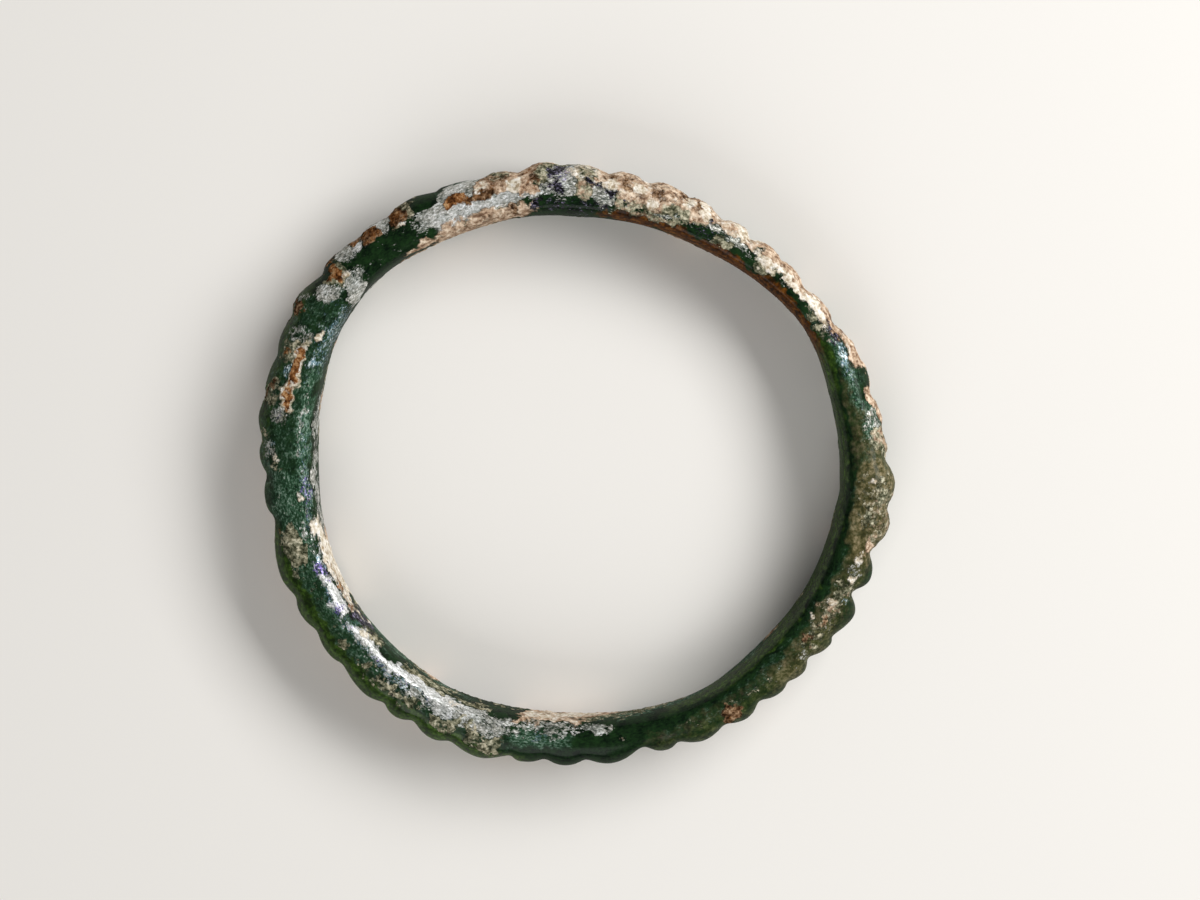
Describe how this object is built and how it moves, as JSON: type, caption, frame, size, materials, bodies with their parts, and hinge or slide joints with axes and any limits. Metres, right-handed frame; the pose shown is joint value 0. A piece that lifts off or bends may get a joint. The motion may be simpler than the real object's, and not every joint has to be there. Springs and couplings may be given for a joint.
{
  "type": "glass bangle",
  "caption": "Closed hoop bangle of weathered green glass: D-shaped wall, flat inside, rounded outside with pressed cross ribs, uneven outline, lying on its side.",
  "frame": {"origin": "middle of the hoop's outline, on the surface that it rests on", "axes": "+Z along the axis that the wrist goes through, up as the hoop lies on its side; +X across its widest diameter; +Y towards the stretch that is at the top in the picture"},
  "size_m": [0.0752, 0.0714, 0.0095],
  "materials": {
    "weathered_glass": "drawn green glass, fire-polished, under a flaking silvery and cream weathering layer"
  },
  "bodies": {
    "root": {"bangle": "weathered_glass"}
  },
  "joints": []
}
